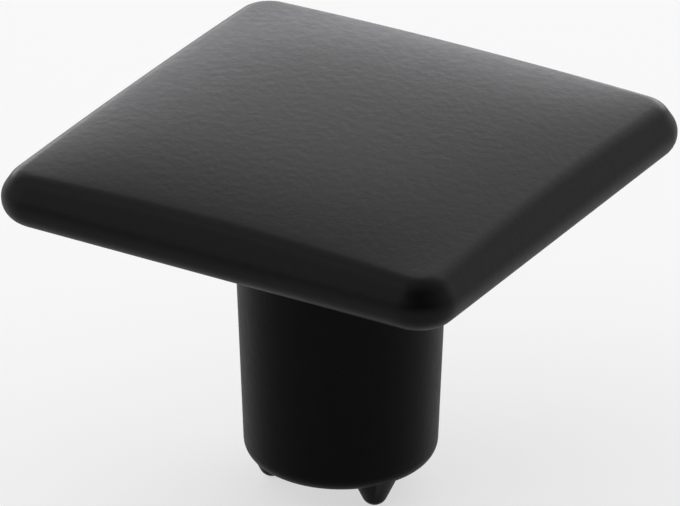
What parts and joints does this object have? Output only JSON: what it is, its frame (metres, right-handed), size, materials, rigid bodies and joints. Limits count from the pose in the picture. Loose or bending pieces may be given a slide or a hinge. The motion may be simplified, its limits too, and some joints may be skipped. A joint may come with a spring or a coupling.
{
  "type": "cabinet knob",
  "caption": "Square satin black cabinet knob with a crowned, bevelled head on a round drafted stem, locating nibs under the foot and a threaded screw hole.",
  "frame": {"origin": "centre of the foot face, where the knob seats on the cabinet front", "axes": "+Z along the stem towards the head's face, +X and +Y square to the head's sides"},
  "size_m": [0.035, 0.035, 0.0267],
  "materials": {
    "black_coat": "satin black coat on zinc, with a fine mottled texture"
  },
  "bodies": {
    "root": {"knob": "black_coat"}
  },
  "joints": []
}
